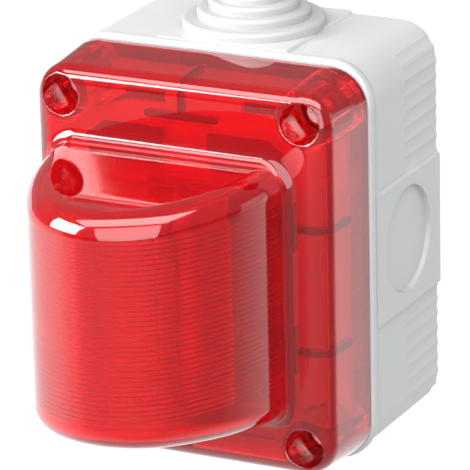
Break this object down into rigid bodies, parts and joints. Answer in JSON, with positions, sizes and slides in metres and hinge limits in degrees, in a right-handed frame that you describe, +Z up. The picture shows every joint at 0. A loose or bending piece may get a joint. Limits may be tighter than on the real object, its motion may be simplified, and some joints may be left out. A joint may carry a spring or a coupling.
{
  "type": "horn strobe",
  "caption": "Wall-mounted horn strobe: light grey surface box, clear red screw-on cover with a D-shaped lens dome, flash tube and down-firing horn inside.",
  "frame": {"origin": "centre of the flat back face of the box, on the wall", "axes": "+Z up, the front and its lens dome face -Y, +X to the right seen from the front"},
  "size_m": [0.066, 0.0861, 0.0906],
  "materials": {
    "grey_plastic": "fine satin moulded thermoplastic, light grey",
    "grommet_plastic": "soft light grey thermoplastic elastomer",
    "seal_rubber": "soft grey sealing rubber",
    "red_clear": "polished clear red polycarbonate",
    "white_plastic": "white moulded plastic",
    "black_plastic": "black moulded plastic",
    "reflector_metal": "vacuum-metallised bright reflector",
    "glass": "clear hard glass",
    "steel": "zinc-plated steel",
    "brass": "plain brass",
    "nickel": "nickel-plated",
    "pcb": "green solder mask on glass-epoxy",
    "terminal_green": "green terminal plastic",
    "blue_plastic": "blue moulded plastic",
    "ferrite": "dark sintered ferrite",
    "copper": "enamelled copper wire",
    "sleeve": "black shrink sleeve over an aluminium can",
    "film": "thin amber polymer film"
  },
  "bodies": {
    "back_box": {"back_box": "grey_plastic", "box_gasket": "seal_rubber", "cable_grommet": "grommet_plastic", "threaded_inserts": "brass", "carrier": "white_plastic", "carrier_screws": "white_plastic", "strobe_tray": "white_plastic", "strobe_mask": "black_plastic", "reflector": "reflector_metal", "reflector_screws": "steel", "flash_tube": "glass", "tube_caps": "nickel", "tube_leads": "nickel", "trigger_band": "nickel", "horn_trumpet": "black_plastic", "driver_housing": "black_plastic", "driver_front_plate": "steel", "driver_magnet": "ferrite", "driver_yoke": "steel", "driver_cap": "black_plastic", "circuit_board": "pcb", "board_screws": "steel", "terminal_block": "terminal_green", "terminal_cages": "brass", "dip_body": "blue_plastic", "trimmer_body": "blue_plastic", "flash_capacitor": "sleeve", "capacitor_leads": "nickel", "trigger_core": "ferrite", "trigger_winding": "copper", "boost_inductor": "ferrite", "inductor_winding": "copper", "control_chip": "black_plastic", "chip_legs": "nickel", "resistors": "black_plastic"},
    "front_cover": {"front_cover": "red_clear", "screw_seals": "seal_rubber"},
    "diaphragm": {"diaphragm": "film"},
    "trimmer_rotor": {"trimmer_rotor": "white_plastic"},
    "cover_screw_1": {"cover_screw_1": "steel"},
    "terminal_screw_1": {"terminal_screw_1": "steel"},
    "dip_slider_1": {"dip_slider_1": "white_plastic"},
    "cover_screw_2": {"cover_screw_2": "steel"},
    "terminal_screw_2": {"terminal_screw_2": "steel"},
    "dip_slider_2": {"dip_slider_2": "white_plastic"},
    "cover_screw_3": {"cover_screw_3": "steel"},
    "terminal_screw_3": {"terminal_screw_3": "steel"},
    "dip_slider_3": {"dip_slider_3": "white_plastic"},
    "cover_screw_4": {"cover_screw_4": "steel"},
    "terminal_screw_4": {"terminal_screw_4": "steel"},
    "dip_slider_4": {"dip_slider_4": "white_plastic"}
  },
  "joints": [
    {"name": "cover_off", "type": "slide", "parent": "back_box", "child": "front_cover", "axis": [0, -1, 0], "range_m": [0, 0.05]},
    {"name": "cover_screw_1_turn", "type": "hinge", "parent": "front_cover", "child": "cover_screw_1", "pos_m": [-0.0256, -0.041, -0.033], "axis": [0, -1, 0], "range_deg": [0, 720]},
    {"name": "cover_screw_2_turn", "type": "hinge", "parent": "front_cover", "child": "cover_screw_2", "pos_m": [-0.0256, -0.041, 0.033], "axis": [0, -1, 0], "range_deg": [0, 720]},
    {"name": "cover_screw_3_turn", "type": "hinge", "parent": "front_cover", "child": "cover_screw_3", "pos_m": [0.0256, -0.041, -0.033], "axis": [0, -1, 0], "range_deg": [0, 720]},
    {"name": "cover_screw_4_turn", "type": "hinge", "parent": "front_cover", "child": "cover_screw_4", "pos_m": [0.0256, -0.041, 0.033], "axis": [0, -1, 0], "range_deg": [0, 720]},
    {"name": "terminal_screw_1_turn", "type": "hinge", "parent": "back_box", "child": "terminal_screw_1", "pos_m": [-0.00762, -0.0195, 0.0196], "axis": [0, -1, 0], "range_deg": [0, 720]},
    {"name": "terminal_screw_2_turn", "type": "hinge", "parent": "back_box", "child": "terminal_screw_2", "pos_m": [-0.00254, -0.0195, 0.0196], "axis": [0, -1, 0], "range_deg": [0, 720]},
    {"name": "terminal_screw_3_turn", "type": "hinge", "parent": "back_box", "child": "terminal_screw_3", "pos_m": [0.00254, -0.0195, 0.0196], "axis": [0, -1, 0], "range_deg": [0, 720]},
    {"name": "terminal_screw_4_turn", "type": "hinge", "parent": "back_box", "child": "terminal_screw_4", "pos_m": [0.00762, -0.0195, 0.0196], "axis": [0, -1, 0], "range_deg": [0, 720]},
    {"name": "dip_slider_1_travel", "type": "slide", "parent": "back_box", "child": "dip_slider_1", "axis": [0, 0, 1], "range_m": [0, 0.0013]},
    {"name": "dip_slider_2_travel", "type": "slide", "parent": "back_box", "child": "dip_slider_2", "axis": [0, 0, 1], "range_m": [0, 0.0013]},
    {"name": "dip_slider_3_travel", "type": "slide", "parent": "back_box", "child": "dip_slider_3", "axis": [0, 0, 1], "range_m": [0, 0.0013]},
    {"name": "dip_slider_4_travel", "type": "slide", "parent": "back_box", "child": "dip_slider_4", "axis": [0, 0, 1], "range_m": [0, 0.0013]},
    {"name": "volume_trimmer_turn", "type": "hinge", "parent": "back_box", "child": "trimmer_rotor", "pos_m": [0.017, -0.0155, -0.0055], "axis": [0, -1, 0], "range_deg": [-135, 135]},
    {"name": "diaphragm_travel", "type": "slide", "parent": "back_box", "child": "diaphragm", "axis": [0, 0, 1], "range_m": [-0.0004, 0.0004], "stiffness_N_per_m": 800}
  ]
}
